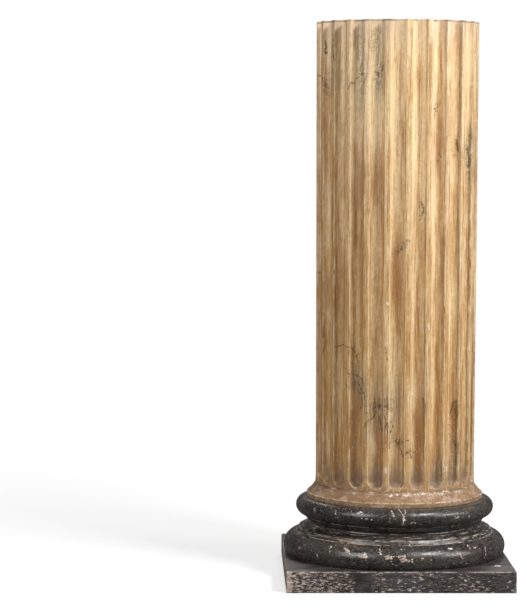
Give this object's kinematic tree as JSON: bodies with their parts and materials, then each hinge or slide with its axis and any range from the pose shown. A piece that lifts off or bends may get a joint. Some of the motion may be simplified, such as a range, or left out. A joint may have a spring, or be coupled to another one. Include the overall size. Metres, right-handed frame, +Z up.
{
  "type": "half column",
  "caption": "Half-height round fluted column of painted wood on a turned base and a square plinth, used as a pedestal.",
  "frame": {"origin": "middle of the plinth's underside", "axes": "+Z up along the column's axis, -Y the front of the plinth, X to the right"},
  "size_m": [0.5, 0.5, 1.2405],
  "materials": {
    "plinth_paint": "black paint, crackled and flaked to pinkish cream ground, bare worn edges",
    "base_paint": "satin black paint with a green cast, chipped to a cream ground",
    "foot_paint": "tan oil paint, rubbed to cream on the edges",
    "marbled_paint": "oil paint marbled in cream, ochre and sienna with dark veins, aged varnish"
  },
  "bodies": {
    "root": {"plinth": "plinth_paint", "base_moulding": "base_paint", "foot_ring": "foot_paint", "shaft": "marbled_paint"}
  },
  "joints": []
}
